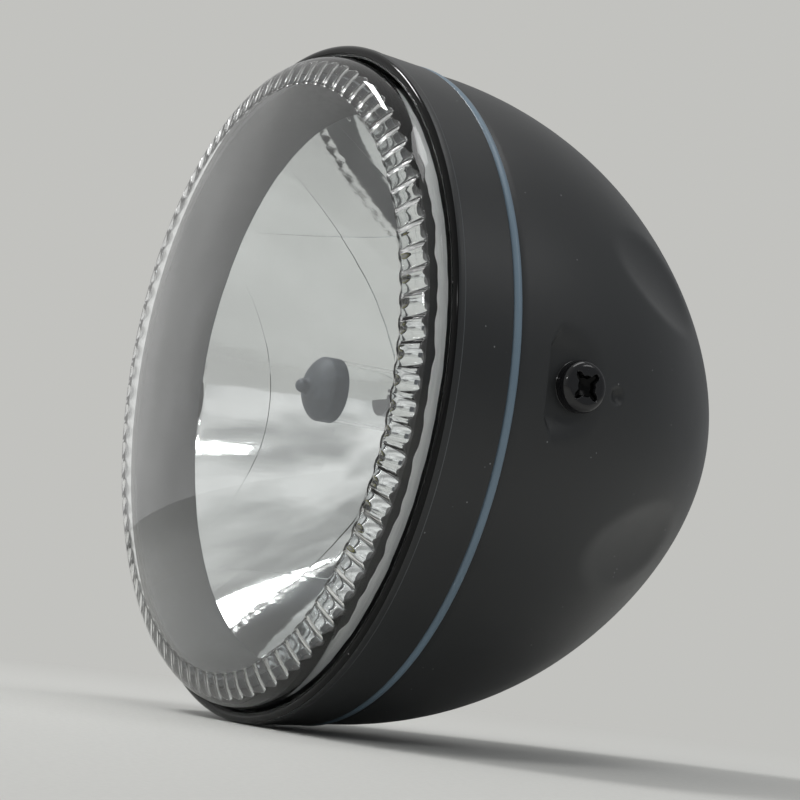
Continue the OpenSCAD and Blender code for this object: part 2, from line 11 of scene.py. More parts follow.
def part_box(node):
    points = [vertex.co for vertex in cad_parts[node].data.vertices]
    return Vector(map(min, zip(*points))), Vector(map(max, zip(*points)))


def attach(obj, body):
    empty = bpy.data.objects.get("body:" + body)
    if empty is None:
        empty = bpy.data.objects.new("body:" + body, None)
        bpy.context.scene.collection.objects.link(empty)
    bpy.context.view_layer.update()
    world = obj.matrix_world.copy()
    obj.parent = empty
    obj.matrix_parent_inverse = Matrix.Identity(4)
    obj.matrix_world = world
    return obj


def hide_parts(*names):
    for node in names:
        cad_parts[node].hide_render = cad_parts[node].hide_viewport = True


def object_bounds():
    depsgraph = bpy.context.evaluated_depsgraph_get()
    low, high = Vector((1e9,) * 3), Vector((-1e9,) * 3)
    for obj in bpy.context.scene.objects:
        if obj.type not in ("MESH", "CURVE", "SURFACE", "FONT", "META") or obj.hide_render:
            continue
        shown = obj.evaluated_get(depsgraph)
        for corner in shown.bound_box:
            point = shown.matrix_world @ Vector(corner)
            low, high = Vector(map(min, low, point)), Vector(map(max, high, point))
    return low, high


bl_info = {
    "name": "Round motorcycle headlight",
    "version": (1, 0, 0),
    "blender": (4, 5, 0),
    "location": "3D View > Sidebar > Headlight",
    "description": "Builds the looks of a round motorcycle headlight round its packed frame",
    "category": "Object",
}

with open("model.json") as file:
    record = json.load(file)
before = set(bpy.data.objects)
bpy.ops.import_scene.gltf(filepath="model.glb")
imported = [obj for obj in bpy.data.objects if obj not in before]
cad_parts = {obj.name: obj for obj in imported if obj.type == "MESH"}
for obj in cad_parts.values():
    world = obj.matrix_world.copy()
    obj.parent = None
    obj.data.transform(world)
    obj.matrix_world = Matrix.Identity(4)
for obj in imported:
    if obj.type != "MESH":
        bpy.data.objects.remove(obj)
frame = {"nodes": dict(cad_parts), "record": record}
FRAME_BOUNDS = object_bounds()

MM = 0.001
RIM_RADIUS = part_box("trim_ring")[1].x
LIP_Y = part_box("trim_ring")[0].y
BAND_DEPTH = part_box("trim_ring")[1].y - LIP_Y
LENS_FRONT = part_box("lens_glass")[0].y - LIP_Y
LENS_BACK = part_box("lens_glass")[1].y - LIP_Y
FOOT_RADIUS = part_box("lens_glass")[1].x
BUCKET_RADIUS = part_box("bucket")[1].x
SEAM_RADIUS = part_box("seam_ring")[1].x
COLLAR_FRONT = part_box("reflector")[0].y - LIP_Y
SIDE_SEAT = next(m["pos_m"][0] for m in frame["record"]["mounts"] if m["name"] == "side_seat_right")


# A section is a list of points, each a radius and a distance behind the front lip.

def arc(centre, radius, start, end, count):
    """Points of an arc in a section, its angles in degrees from the radius axis towards the back."""
    turn = np.radians(np.linspace(start, end, count))
    return np.stack([centre[0] + radius * np.cos(turn), centre[1] + radius * np.sin(turn)], -1)


def line(start, end, count=2):
    """Points of a straight line in a section."""
    share = np.linspace(0, 1, count)[:, None]
    return np.array(start) * (1 - share) + np.array(end) * share


def turned(section, columns):
    """The rows and columns of points that a section makes when it is turned round the lamp's axis."""
    angle = np.radians(columns) if np.ndim(columns) else np.linspace(0, 2 * np.pi, columns, endpoint=False)
    radius, depth = section[..., 0], section[..., 1]
    if radius.ndim == 1:
        radius, depth = radius[:, None], depth[:, None]
    depth = depth + 0 * angle
    return np.stack([radius * np.cos(angle), depth + LIP_Y, radius * np.sin(angle)], -1)


def smooth_step(value, low, high):
    """0 below low, 1 above high, and a soft turn between them."""
    share = np.clip((value - low) / (high - low), 0, 1)
    return share * share * (3 - 2 * share)


def soft_min(a, b, width):
    """The smaller of two values, with the crease between them rounded over width."""
    near = np.maximum(width - np.abs(a - b), 0) / width
    return np.minimum(a, b) - near * near * width / 4


class Shell:
    """The points and faces of one piece while it is drawn."""

    def __init__(self):
        self.points, self.faces, self.materials, self.count = [], [], [], 0

    def grid(self, points, closed=True, ring=False, material=0):
        """Adds rows and columns of points. Closed joins the last column to the first, ring the last row."""
        rows, columns = points.shape[:2]
        index = np.arange(rows * columns).reshape(rows, columns) + self.count
        if closed:
            index = np.concatenate([index, index[:, :1]], 1)
        if ring:
            index = np.concatenate([index, index[:1]], 0)
        quads = np.stack([index[:-1, :-1], index[:-1, 1:], index[1:, 1:], index[1:, :-1]], -1).reshape(-1, 4)
        self.points.append(points.reshape(-1, 3))
        self.faces.append(quads)
        self.materials.append(np.full(len(quads), material) if np.ndim(material) == 0 else material)
        self.count += rows * columns
        return self

    def piece(self, name, materials, slot, nodes=(), sharp=32):
        """Welds the points, makes the object, hangs it under the root body and hides the frame's pieces that it stands
        for.
        """
        points = np.concatenate(self.points)
        unique, first, place = np.unique(np.round(points / (2e-4 * MM)).astype(np.int64), axis=0,
                                         return_index=True, return_inverse=True)
        place = place.reshape(-1)
        faces, kinds = [], []
        for quad, kind in zip(place[np.concatenate(self.faces)].tolist(), np.concatenate(self.materials).tolist()):
            corners = [c for k, c in enumerate(quad) if c != quad[k - 1]]
            if len(corners) > 2 and len(set(corners)) == len(corners):
                faces.append(corners)
                kinds.append(kind)
        mesh = bpy.data.meshes.new(name)
        mesh.from_pydata(points[first].tolist(), [], faces)
        for material in materials:
            mesh.materials.append(material)
        mesh.polygons.foreach_set("material_index", kinds)
        mesh.polygons.foreach_set("use_smooth", [True] * len(faces))
        face_outward(mesh)
        mesh.set_sharp_from_angle(angle=math.radians(sharp))
        made = bpy.data.objects.new(name, mesh)
        bpy.context.scene.collection.objects.link(made)
        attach(made, "root")
        if nodes:
            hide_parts(*nodes)
        return made


def face_outward(mesh):
    """Turns every face of a mesh to the outside."""
    work = bmesh.new()
    work.from_mesh(mesh)
    bmesh.ops.recalc_face_normals(work, faces=work.faces)
    work.to_mesh(mesh)
    work.free()


def scaled(colour, factor):
    """A colour made lighter or darker."""
    return [c * factor for c in colour]


def add_node(tree, kind, links=None, **settings):
    """Adds a node. Links maps an input's name or number to a value or to another node's output."""
    made = tree.nodes.new(kind)
    for key, value in settings.items():
        setattr(made, key, value)
    for key, value in (links or {}).items():
        if isinstance(value, bpy.types.NodeSocket):
            tree.links.new(value, made.inputs[key])
        else:
            made.inputs[key].default_value = value
    return made


class Paint:
    """A material and the few node links that its pattern needs."""

    def __init__(self, name, colour, roughness, metallic=0.0, **sockets):
        self.material = bpy.data.materials.new(name)
        self.material.use_nodes = True
        self.tree = self.material.node_tree
        self.shader = self.tree.nodes["Principled BSDF"]
        self.shader.inputs["Base Color"].default_value = (*colour, 1)
        self.shader.inputs["Roughness"].default_value = roughness
        self.shader.inputs["Metallic"].default_value = metallic
        for socket, value in sockets.items():
            self.shader.inputs[socket.replace("_", " ")].default_value = value
        self.place = self.node("ShaderNodeTexCoord").outputs["Object"]

    def node(self, kind, links=None, **settings):
        """Adds a node to the material."""
        return add_node(self.tree, kind, links, **settings)

    def noise(self, size, detail=3.0, rough=0.5, stretch=None):
        """Noise whose spots are about size metres across, stretched along an axis if asked."""
        place = self.place
        if stretch:
            place = self.node("ShaderNodeMapping", {"Vector": place, "Scale": stretch}).outputs[0]
        return self.node("ShaderNodeTexNoise", {"Vector": place, "Scale": 1 / size, "Detail": detail,
                                                "Roughness": rough}).outputs[0]

    def range(self, value, low, high, to_low, to_high):
        """Maps a value from one range to another, held at both ends."""
        return self.node("ShaderNodeMapRange", {"Value": value, "From Min": low, "From Max": high,
                                                "To Min": to_low, "To Max": to_high}).outputs[0]

    def mix(self, share, first, second):
        """Mixes two colours by a share."""
        made = self.node("ShaderNodeMix", data_type="RGBA")
        for socket, value in ((made.inputs[0], share), (made.inputs[6], first), (made.inputs[7], second)):
            if isinstance(value, bpy.types.NodeSocket):
                self.tree.links.new(value, socket)
            else:
                socket.default_value = (*value, 1) if hasattr(value, "__len__") else value
        return made.outputs[2]

    def blend(self, pattern, first, second, low=0.3, high=0.7):
        """Goes from one colour to another as a pattern rises from low to high."""
        return self.mix(self.range(pattern, low, high, 0.0, 1.0), first, second)

    def use(self, socket, value):
        """Leads a value into the shader."""
        self.tree.links.new(value, self.shader.inputs[socket])
        return self

    def bump(self, *heights):
        """Raises the surface by patterns, each given with its height in metres."""
        normal = None
        for value, height in heights:
            links = {"Height": value, "Distance": height, "Strength": 1.0}
            if normal is not None:
                links["Normal"] = normal
            normal = self.node("ShaderNodeBump", links).outputs[0]
        return self.use("Normal", normal)

    def end_with(self, share, other):
        """Mixes another shader in by a share, and leads the result to the material's output."""
        mixed = self.node("ShaderNodeMixShader", {0: share, 1: self.shader.outputs[0], 2: other}).outputs[0]
        output = next(n for n in self.tree.nodes if n.type == "OUTPUT_MATERIAL")
        self.tree.links.new(mixed, output.inputs["Surface"])
        return self.material

    def specks(self, size, share):
        """1 on a few small specks of about size metres, 0 elsewhere."""
        cells = self.node("ShaderNodeTexVoronoi", {"Vector": self.place, "Scale": 1 / (size * 12)})
        chosen = self.node("ShaderNodeSeparateColor", {0: cells.outputs["Color"]}).outputs[0]
        near = self.range(cells.outputs["Distance"], 0.05, 0.09, 1.0, 0.0)
        rare = self.range(chosen, 1 - share, 1 - share + 0.01, 0.0, 1.0)
        return self.node("ShaderNodeMath", {0: near, 1: rare}, operation="MULTIPLY").outputs[0]


def satin_paint(name, colour, roughness, grain, dust=0.14):
    """Sprayed paint with a fine grain and a little dust."""
    paint = Paint(name, colour, roughness)
    fine = paint.noise(grain, 2.0)
    cloud = paint.noise(40 * MM, 4.0)
    shade = paint.blend(cloud, scaled(colour, 0.86), scaled(colour, 1.16))
    spots = paint.specks(0.22 * MM, dust)
    paint.use("Base Color", paint.mix(spots, shade, [0.2, 0.205, 0.21]))
    paint.use("Roughness", paint.range(cloud, 0.25, 0.75, roughness - 0.05, roughness + 0.07))
    return paint.bump((fine, 0.02 * MM), (spots, 0.03 * MM)).material


def gloss_paint(name, colour, roughness, shine=0.5):
    """Glossy lacquer with a slight ripple, faint haze and dust."""
    paint = Paint(name, colour, roughness, Specular_IOR_Level=shine)
    haze = paint.noise(9 * MM, 5.0, 0.6)
    paint.use("Roughness", paint.range(haze, 0.35, 0.8, roughness, roughness + 0.12))
    spots = paint.specks(0.18 * MM, 0.3)
    paint.use("Base Color", paint.mix(spots, colour, [0.3, 0.3, 0.3]))
    return paint.bump((paint.noise(3 * MM, 2.0), 0.015 * MM)).material


def metal(name, colour, roughness, stretch=(1, 1, 1), size=0.4 * MM, height=0.008 * MM):
    """Bare or plated metal, with a grain that can run along one axis."""
    paint = Paint(name, colour, roughness, 1.0)
    grain = paint.noise(size, 3.0, 0.6, stretch)
    cloud = paint.noise(6 * MM, 4.0)
    paint.use("Base Color", paint.blend(cloud, scaled(colour, 0.82), colour))
    paint.use("Roughness", paint.range(grain, 0.3, 0.7, roughness - 0.06, roughness + 0.1))
    return paint.bump((grain, height)).material


def rubber(name, colour, roughness):
    """Moulded rubber or plastic with a dull, slightly uneven skin."""
    paint = Paint(name, colour, roughness)
    cloud = paint.noise(5 * MM, 5.0, 0.6)
    paint.use("Base Color", paint.blend(cloud, colour, scaled(colour, 1.7)))
    paint.use("Roughness", paint.range(cloud, 0.3, 0.7, roughness - 0.08, roughness + 0.08))
    return paint.bump((paint.noise(0.25 * MM, 3.0), 0.03 * MM)).material


def mirror(name, colour, roughness):
    """Vapour-coated mirror with the faint flow lines of the moulding under it."""
    paint = Paint(name, colour, roughness, 1.0)
    flow = paint.noise(9 * MM, 3.0, 0.5, (0.35, 0.35, 1.6))
    haze = paint.noise(14 * MM, 5.0, 0.6)
    paint.use("Roughness", paint.range(haze, 0.4, 0.8, roughness, roughness + 0.05))
    paint.use("Base Color", paint.blend(haze, colour, scaled(colour, 0.94), high=0.8))
    return paint.bump((flow, 0.05 * MM)).material


def clear(name, tint, ior, ripple):
    """Clear glass that lets lamps shine through without a black shadow."""
    paint = Paint(name, tint, 0.0, 0.0, Transmission_Weight=1.0, IOR=ior)
    if ripple:
        paint.bump((paint.noise(22 * MM, 2.0), ripple))
    shadow = paint.node("ShaderNodeLightPath").outputs["Is Shadow Ray"]
    through = paint.node("ShaderNodeBsdfTransparent", {"Color": (*scaled(tint, 0.9), 1)}).outputs[0]
    return paint.end_with(shadow, through)


class HEADLIGHT_PG_body(bpy.types.PropertyGroup):
    """Bucket, rings and side screws."""
    belly: FloatProperty(name="Belly radius", description="Radius of the arc that forms the belly",
                         default=0.104, unit="LENGTH")
    belly_turn: FloatProperty(name="Belly turn", description="Angle through which the belly arc turns",
                              default=math.radians(34), subtype="ANGLE")
    flank: FloatProperty(name="Flank radius", description="Radius of the flatter arc behind the belly",
                         default=0.133, unit="LENGTH")
    nose_edge: FloatProperty(name="Nose edge", description="Radius of the bucket where its nose begins",
                             default=0.0203, unit="LENGTH")
    seam_width: FloatProperty(name="Seam width", description="Width of the coloured ring between rim and bucket",
                              default=0.0028, unit="LENGTH")
    sheet: FloatProperty(name="Sheet", description="Thickness of the pressed sheet",
                         default=0.0012, unit="LENGTH")
    bead: FloatProperty(name="Bead radius", description="Radius of the rolled front lip",
                        default=0.0015, unit="LENGTH")
    gloss_turn: FloatProperty(name="Gloss turn", description="How far the lip's gloss runs round it from inside",
                              default=math.radians(148), subtype="ANGLE")
    taper: FloatProperty(name="Taper", description="How much the ring's band narrows to the seam",
                         default=0.0009, unit="LENGTH")
    dimple: FloatProperty(name="Dimple width", description="Width of the four pressed dimples round the bucket",
                          default=0.022, unit="LENGTH")
    dimple_length: FloatProperty(name="Dimple length", description="Length of the dimples along the bucket's curve",
                                 default=0.041, unit="LENGTH")
    dimple_depth: FloatProperty(name="Dimple depth", description="Depth of the dimples",
                                default=0.0028, unit="LENGTH")
    dimple_back: FloatProperty(name="Dimple place", description="Distance from the lip back to the dimples",
                               default=0.069, unit="LENGTH")
    dimple_angle: FloatProperty(name="Dimple angle", description="Angle of each dimple from the side screws",
                                default=math.radians(27.5), subtype="ANGLE")
    seat_front: FloatProperty(name="Seat front", description="Distance from the screw forward to its seat's edge",
                              default=0.0092, unit="LENGTH")
    seat_height: FloatProperty(name="Seat height", description="Height of the flat side seat",
                               default=0.018, unit="LENGTH")
    seat_slope: FloatProperty(name="Seat slope", description="Length of the soft slope above and below the seat",
                              default=0.0075, unit="LENGTH")
    seat_corner: FloatProperty(name="Seat corner", description="How far the front edge draws in along the slopes",
                               default=0.003, unit="LENGTH")
    mark_back: FloatProperty(name="Mark place", description="Distance from the screw back to the punched mark",
                             default=0.0122, unit="LENGTH")
    mark_radius: FloatProperty(name="Mark radius", description="Radius of the punched mark",
                               default=0.0026, unit="LENGTH")
    mark_depth: FloatProperty(name="Mark depth", description="Depth of the punched mark",
                              default=0.0011, unit="LENGTH")
    head_shoulder: FloatProperty(name="Head shoulder", description="Radius of the screw head's rounded shoulder",
                                 default=0.002, unit="LENGTH")
    bucket_colour: FloatVectorProperty(name="Bucket", description="Colour of the bucket's paint",
                                       default=(0.021, 0.0225, 0.0235), subtype="COLOR")
    ring_colour: FloatVectorProperty(name="Ring", description="Colour of the trim ring",
                                     default=(0.018, 0.0195, 0.0205), subtype="COLOR")
    seam_colour: FloatVectorProperty(name="Seam", description="Colour of the seam ring",
                                     default=(0.165, 0.235, 0.30), subtype="COLOR")


class HEADLIGHT_PG_optics(bpy.types.PropertyGroup):
    """Lens, reflector and bulb."""
    dome: FloatProperty(name="Dome radius", description="Radius of the lens dome",
                        default=0.350, unit="LENGTH")
    corner: FloatProperty(name="Corner radius", description="Radius of the lens's rounded edge",
                          default=0.007, unit="LENGTH")
    glass: FloatProperty(name="Glass", description="Thickness of the lens dome",
                         default=0.0022, unit="LENGTH")
    wall: FloatProperty(name="Wall", description="Thickness of the lens wall",
                        default=0.0034, unit="LENGTH")
    flutes: IntProperty(name="Flutes", description="Number of flutes round the lens", default=88)
    flute_height: FloatProperty(name="Flute height", description="Height of each flute",
                                default=0.0011, unit="LENGTH")
    flute_radius: FloatProperty(name="Flute radius", description="Radius of each flute's back",
                                default=0.0034, unit="LENGTH")
    flute_run: FloatProperty(name="Flute run", description="Radial length of the flutes",
                             default=0.005, unit="LENGTH")
    flute_slope: FloatProperty(name="Flute slope", description="Slope of the flutes",
                               default=math.radians(28), subtype="ANGLE")
    flute_sink: FloatProperty(name="Flute sink", description="How far the fluted ring starts sunk into the dome",
                              default=0.0008, unit="LENGTH")
    flute_step: FloatProperty(name="Flute step", description="Length of the lower step at each flute's inner end",
                              default=0.0005, unit="LENGTH")
    focal: FloatProperty(name="Focal length", description="Focal length of the reflector",
                         default=0.0224, unit="LENGTH")
    sealant_front: FloatProperty(name="Sealant front", description="Front end of the sealant, behind the lip",
                                 default=-0.0018, unit="LENGTH")
    sealant_back: FloatProperty(name="Sealant back", description="Back end of the sealant, behind the lip",
                                default=0.0005, unit="LENGTH")
    collar: FloatProperty(name="Collar", description="Radial width of the satin collar",
                          default=0.0083, unit="LENGTH")
    mirror_front: FloatProperty(name="Mirror front", description="Distance from the lip back to the mirror's edge",
                                default=0.0115, unit="LENGTH")
    facet: FloatProperty(name="Facet", description="Width of the mirror's facets",
                         default=0.013, unit="LENGTH")
    facet_row: FloatProperty(name="Facet row", description="Height at which the facets change over",
                             default=0.046, unit="LENGTH")
    relief: FloatProperty(name="Relief", description="Share by which neighbouring facets differ in focal length",
                          default=0.014)
    coat_length: FloatProperty(name="Coat", description="Length of the bulb's grey coat",
                               default=0.0076, unit="LENGTH")
    mirror_colour: FloatVectorProperty(name="Mirror", description="Colour of the mirror",
                                       default=(0.86, 0.875, 0.88), subtype="COLOR")
    coat_colour: FloatVectorProperty(name="Coat", description="Colour of the bulb's coat",
                                     default=(0.10, 0.115, 0.135), subtype="COLOR")


class HEADLIGHT_PG_stage(bpy.types.PropertyGroup):
    """Camera, floor and light."""
    focal: FloatProperty(name="Camera lens", description="Focal length of the camera in millimetres",
                         default=99.64)
    pale: FloatVectorProperty(name="Backdrop", description="Colour that the camera sees behind the lamp",
                              default=(0.54, 0.54, 0.52), subtype="COLOR")
    window: FloatProperty(name="Window", description="Power of the window light",
                          default=6.0, unit="POWER")
    ceiling: FloatProperty(name="Ceiling", description="Power of the ceiling light",
                           default=3.0, unit="POWER")
    side: FloatProperty(name="Side window", description="Power of the soft light behind the camera's right",
                        default=1.5, unit="POWER")
    pendant: FloatProperty(name="Pendant", description="Power of the small lamp at the right",
                           default=0.5, unit="POWER")


def body_sizes():
    """The sizes of the bucket, rings and screws."""
    return bpy.context.scene.headlight_body


def optics_sizes():
    """The sizes of the lens, reflector and bulb."""
    return bpy.context.scene.headlight_optics


class HEADLIGHT_OT_bucket(bpy.types.Operator):
    """Pressed bucket with its dimples, side seats and punched marks"""
    bl_idname = "headlight.bucket"
    bl_label = "Bucket"

    def execute(self, context):
        size = body_sizes()
        start = BAND_DEPTH + size.seam_width
        belly = np.array([BUCKET_RADIUS - size.belly, start])
        turn = math.degrees(size.belly_turn)
        way = np.array([math.cos(size.belly_turn), math.sin(size.belly_turn)])
        flank = belly - (size.flank - size.belly) * way
        flank_turn = math.acos((size.nose_edge - flank[0]) / size.flank)
        nose_radius = size.nose_edge / math.cos(flank_turn)
        nose = np.array([0, flank[1] + (size.flank - nose_radius) * math.sin(flank_turn)])
        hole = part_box("cable_grommet")[1].x * 0.76
        nose_turn, hole_turn = math.degrees(flank_turn), math.degrees(math.acos(hole / nose_radius))
        seat_turn, dimple_turn = 4, 19
        outer = np.concatenate([
            arc(belly, size.belly, 0, seat_turn, 9), arc(belly, size.belly, seat_turn, dimple_turn, 72)[1:],
            arc(belly, size.belly, dimple_turn, turn, 36)[1:], arc(flank, size.flank, turn, nose_turn, 44)[1:],
            arc(nose, nose_radius, nose_turn, hole_turn, 16)[1:]])
        columns = self.columns()
        angle = np.radians(columns)
        side = np.arctan(np.tan(angle))
        base, depth = outer[:, :1], outer[:, 1:]
        radius = base + 0 * angle
        run = np.concatenate([[0], np.cumsum(np.hypot(*np.diff(outer, axis=0).T))])[:, None]
        along = (run - np.interp(size.dimple_back, outer[:, 1], run[:, 0])) / (size.dimple_length / 2)
        for middle in (-size.dimple_angle, size.dimple_angle):
            across = base * (side - middle) / (size.dimple / 2)
            reach = base - size.dimple_depth * (1 - along ** 2 - across ** 2)
            radius = soft_min(radius, reach, 0.8 * MM)
        flat = SIDE_SEAT / np.cos(side)
        height = np.abs(radius * np.sin(side)) - (size.seat_height / 2 - 2 * MM)
        ahead = -(depth + LIP_Y) - size.seat_front
        slope = smooth_step(height, 0, size.seat_slope)
        pressed = (1 - slope) * (1 - smooth_step(ahead + slope * size.seat_corner, -0.75 * MM, 0.55 * MM))
        radius = radius - pressed * (radius - soft_min(radius, flat, 0.5 * MM))
        mark = np.hypot(depth + LIP_Y - size.mark_back, radius * np.sin(side))
        radius = radius - size.mark_depth * (1 - smooth_step(mark, 0.2 * size.mark_radius, size.mark_radius))
        surface = turned(np.stack([radius, depth + 0 * angle], -1), columns)
        around = np.roll(surface, -1, 1) - np.roll(surface, 1, 1)
        normal = np.cross(np.gradient(surface, axis=0), around)
        normal /= np.linalg.norm(normal, axis=-1, keepdims=True)
        normal *= np.sign((normal * surface * [1, 0, 1]).sum(-1, keepdims=True) + 1e-12)
        inner = surface - size.sheet * normal
        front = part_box("bucket")[0].y - LIP_Y
        tube = RIM_RADIUS - size.taper - size.sheet - 0.9 * MM
        mouth = np.array([[tube - size.sheet, start + 1.4 * size.sheet], [tube - size.sheet, front + 0.3 * MM],
                          [tube - size.sheet + 0.3 * MM, front], [tube - 0.3 * MM, front],
                          [tube, front + 0.3 * MM], [tube, start], [outer[0, 0] - 0.25 * MM, start]])
        rows = np.concatenate([turned(mouth, columns), surface[1:]])
        keep = [i for i in range(len(inner) - 1, 6, -4)]
        rows = np.concatenate([rows, inner[keep]])
        shell = Shell().grid(rows, ring=True)
        shell.piece("bucket_shell", [satin_paint("Bucket paint", size.bucket_colour, 0.44, 0.16 * MM)],
                    "bucket_paint", ["bucket"])
        return {"FINISHED"}

    def columns(self):
        """Angles of the bucket's columns in degrees, close together on the two sides and finest at the marks."""
        mark, seat, side = 3, 11, 42
        fine = [(-side, -seat, 40), (-seat, -mark, 20), (-mark, mark, 21), (mark, seat, 20), (seat, side, 40)]
        near = np.concatenate([np.linspace(*fine[0])] + [np.linspace(*run)[1:] for run in fine[1:]])
        far = np.linspace(side, 180 - side, 48)[1:-1]
        return np.concatenate([near, far, near + 180, far + 180])


class HEADLIGHT_OT_rings(bpy.types.Operator):
    """Trim ring with its gloss lip, and the coloured seam ring behind it"""
    bl_idname = "headlight.rings"
    bl_label = "Trim and seam rings"

    def execute(self, context):
        size = body_sizes()
        r, step = size.bead, 0.12 * MM
        centre = (RIM_RADIUS - r, 0.75 * MM)
        turns, columns = 28, 360
        lip = np.concatenate([[[RIM_RADIUS - 2 * r, 1.6 * MM]], arc(centre, r, 180, 360, turns)])
        shoulder = np.array([[RIM_RADIUS, r + 0.1 * MM], [RIM_RADIUS - 0.03 * MM, r + 0.22 * MM],
                             [RIM_RADIUS - step, r + 0.34 * MM]])
        back = RIM_RADIUS - size.taper
        band = line((RIM_RADIUS - step - 0.01 * MM, r + 0.5 * MM), (back, BAND_DEPTH - 0.25 * MM), 12)
        edge = arc((back - 0.25 * MM, BAND_DEPTH - 0.25 * MM), 0.25 * MM, 0, 90, 5)[1:]
        inside = np.array([[back - size.sheet + 0.1 * MM, BAND_DEPTH], [back - size.sheet, BAND_DEPTH - 0.1 * MM],
                           [RIM_RADIUS - size.sheet - 0.2 * MM, r + 1.3 * MM]])
        section = np.concatenate([lip, shoulder, band, edge, inside])
        glossy = 1 + round(turns * size.gloss_turn / math.pi)
        rows = np.arange(len(section))
        # The two shoulder rows behind the lip are painted five times lighter than the ring: a painted highlight along
        # the lip's outer edge.
        highlight_rows = (rows >= len(lip)) & (rows < len(lip) + 2)
        kinds = np.repeat(np.where(rows < glossy, 0, np.where(highlight_rows, 2, 1)), columns)
        Shell().grid(turned(section, columns), ring=True, material=kinds).piece(
            "trim_band", [gloss_paint("Lip lacquer", scaled(size.ring_colour, 0.12), 0.07, 0.18),
                          satin_paint("Ring paint", size.ring_colour, 0.40, 0.14 * MM),
                          satin_paint("Painted edge highlight", scaled(size.ring_colour, 5), 0.35, 0.1 * MM)],
            "ring_paint", ["trim_ring"])
        half = size.seam_width / 2 - 0.05 * MM
        middle = (SEAM_RADIUS - half, BAND_DEPTH + size.seam_width / 2)
        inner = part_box("bucket")[1].x - 1.0 * MM
        crown = arc(middle, half, -90, 90, 17)
        section = np.concatenate([[[inner, crown[0, 1]]], crown, [[inner, crown[-1, 1]]]])
        coat = satin_paint("Seam coat", size.seam_colour, 0.34, 0.12 * MM, 0.12)
        Shell().grid(turned(section, 300), ring=True).piece("seam_band", [coat], "seam_coat", ["seam_ring"])
        return {"FINISHED"}


class HEADLIGHT_OT_screws(bpy.types.Operator):
    """Side screws with their cross recesses"""
    bl_idname = "headlight.screws"
    bl_label = "Side screws"

    def execute(self, context):
        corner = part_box("side_screws")[1]
        radius, shoulder = corner.z, body_sizes().head_shoulder
        seat = SIDE_SEAT + 0.02 * MM
        height = corner.x - seat
        around = np.linspace(0, 2 * np.pi, 288, endpoint=False)
        bend = arc((radius - shoulder, height - shoulder), shoulder, 90, 0, 12)
        flat = np.linspace(0, radius - shoulder, 64)
        profile = np.concatenate([np.stack([flat, height + 0 * flat], -1)[:-1], bend,
                                  [[radius, 0.3 * MM], [radius - 0.1 * MM, 0.1 * MM]]])
        rho, top = profile[:, 0], profile[:, 1]
        y, z = rho[:, None] * np.cos(around), rho[:, None] * np.sin(around)
        u, v = np.abs(y + z) / math.sqrt(2), np.abs(y - z) / math.sqrt(2)
        reach, wing, core = 0.68 * radius, 0.19 * radius, 0.40 * radius
        gap = np.hypot(y, z) - core
        for a, b in ((u, v), (v, u)):
            narrow = wing - 0.10 * a
            gap = np.minimum(gap, np.hypot(np.maximum(a - reach + narrow, 0), b) - narrow)
        depth = 1 - smooth_step(gap, -0.34 * MM, 0.06 * MM)
        deepest, point = 2.4 * MM, 0.8 * MM
        floor = deepest - 0.42 * np.maximum(np.hypot(y, z) - point, 0)
        x = top[:, None] - depth * floor
        head = np.stack([x, y, z], -1)
        shank, end, bevel = 3 * MM, -14 * MM, 0.5 * MM
        body = np.array([[radius, 0], [0.97 * radius, 0], [shank, 0], [shank, -13.6 * MM],
                         [shank - bevel, end], [0, end]])
        rho, top = body[:, :1], body[:, 1:]
        under = np.stack([top + 0 * around, rho * np.cos(around), rho * np.sin(around)], -1)
        rows = np.concatenate([head, under]) + [seat, 0, 0]
        shell = Shell()
        # Faces deep in the cross recess get a near-black, weakly shining paint: painted shade in the recess, as the
        # screw itself is one gloss black.
        shaded_recess = np.zeros((len(rows), len(around)), int)
        shaded_recess[:len(depth)] = depth > 0.55
        for way in (1, -1):
            shell.grid(rows * [way, 1, way], material=shaded_recess[:-1].reshape(-1))
        shell.piece("side_screw_pair", [gloss_paint("Screw coat", (0.009, 0.009, 0.010), 0.10),
                                        gloss_paint("Screw recess painted shade", (0.002, 0.002, 0.002), 0.25, 0.12)],
                    "screw_black", ["side_screws"], 40)
        return {"FINISHED"}


def lens_sizes(size):
    """Shared places of the lens: the dome's middle, the skirt, the corner and the start of the flutes."""
    rise = -LENS_FRONT
    skirt = RIM_RADIUS - 2 * body_sizes().bead - 0.4 * MM
    dome_s = size.dome - rise
    corner_r = skirt - size.corner
    corner = np.array([corner_r, dome_s - math.sqrt((size.dome - size.corner) ** 2 - corner_r ** 2)])
    wall = skirt - size.wall
    inner = size.dome - size.glass
    start_r = wall - size.flute_run
    dome_end = np.array([start_r, dome_s - math.sqrt(inner ** 2 - start_r ** 2)])
    return {"skirt": skirt, "dome_s": dome_s, "corner": corner, "wall": wall, "inner": inner,
            "dome_end": dome_end, "start": dome_end - [0, size.flute_sink]}


